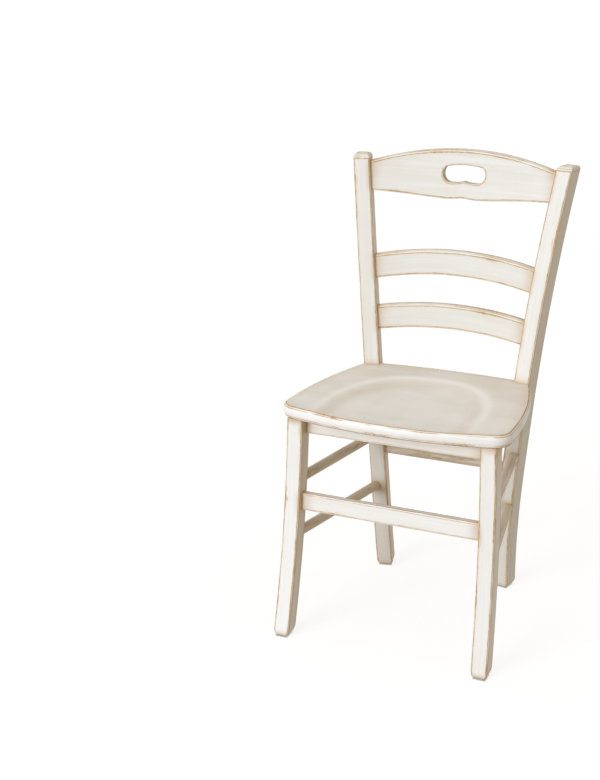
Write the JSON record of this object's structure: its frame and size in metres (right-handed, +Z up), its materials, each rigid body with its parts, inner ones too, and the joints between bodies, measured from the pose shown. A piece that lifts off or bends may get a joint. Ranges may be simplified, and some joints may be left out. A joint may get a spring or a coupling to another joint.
{
  "type": "dining chair",
  "caption": "Country kitchen chair with a saddle seat, curved back posts, bowed slats and a crest rail with a hand hole, in worn ivory paint.",
  "frame": {"origin": "on the floor, under the middle of the chair's box", "axes": "+Z up, the chair's front faces -Y, +X to the viewer's right when the chair is seen from its front"},
  "size_m": [0.4614, 0.45, 0.905],
  "materials": {
    "ivory_paint": "satin paint rubbed through to ochre on the arrises",
    "bare_beech": "bare",
    "zinc_steel": "zinc plated"
  },
  "bodies": {
    "root": {"seat": "ivory_paint", "left_back_post": "ivory_paint", "right_back_post": "ivory_paint", "left_front_leg": "ivory_paint", "right_front_leg": "ivory_paint", "crest_rail": "ivory_paint", "upper_slat": "ivory_paint", "lower_slat": "ivory_paint", "front_apron": "ivory_paint", "front_stretcher": "ivory_paint", "left_upper_rung": "ivory_paint", "left_lower_rung": "ivory_paint", "right_upper_rung": "ivory_paint", "right_lower_rung": "ivory_paint", "back_rung": "ivory_paint", "seat_dowels": "bare_beech", "seat_screws": "zinc_steel"}
  },
  "joints": []
}
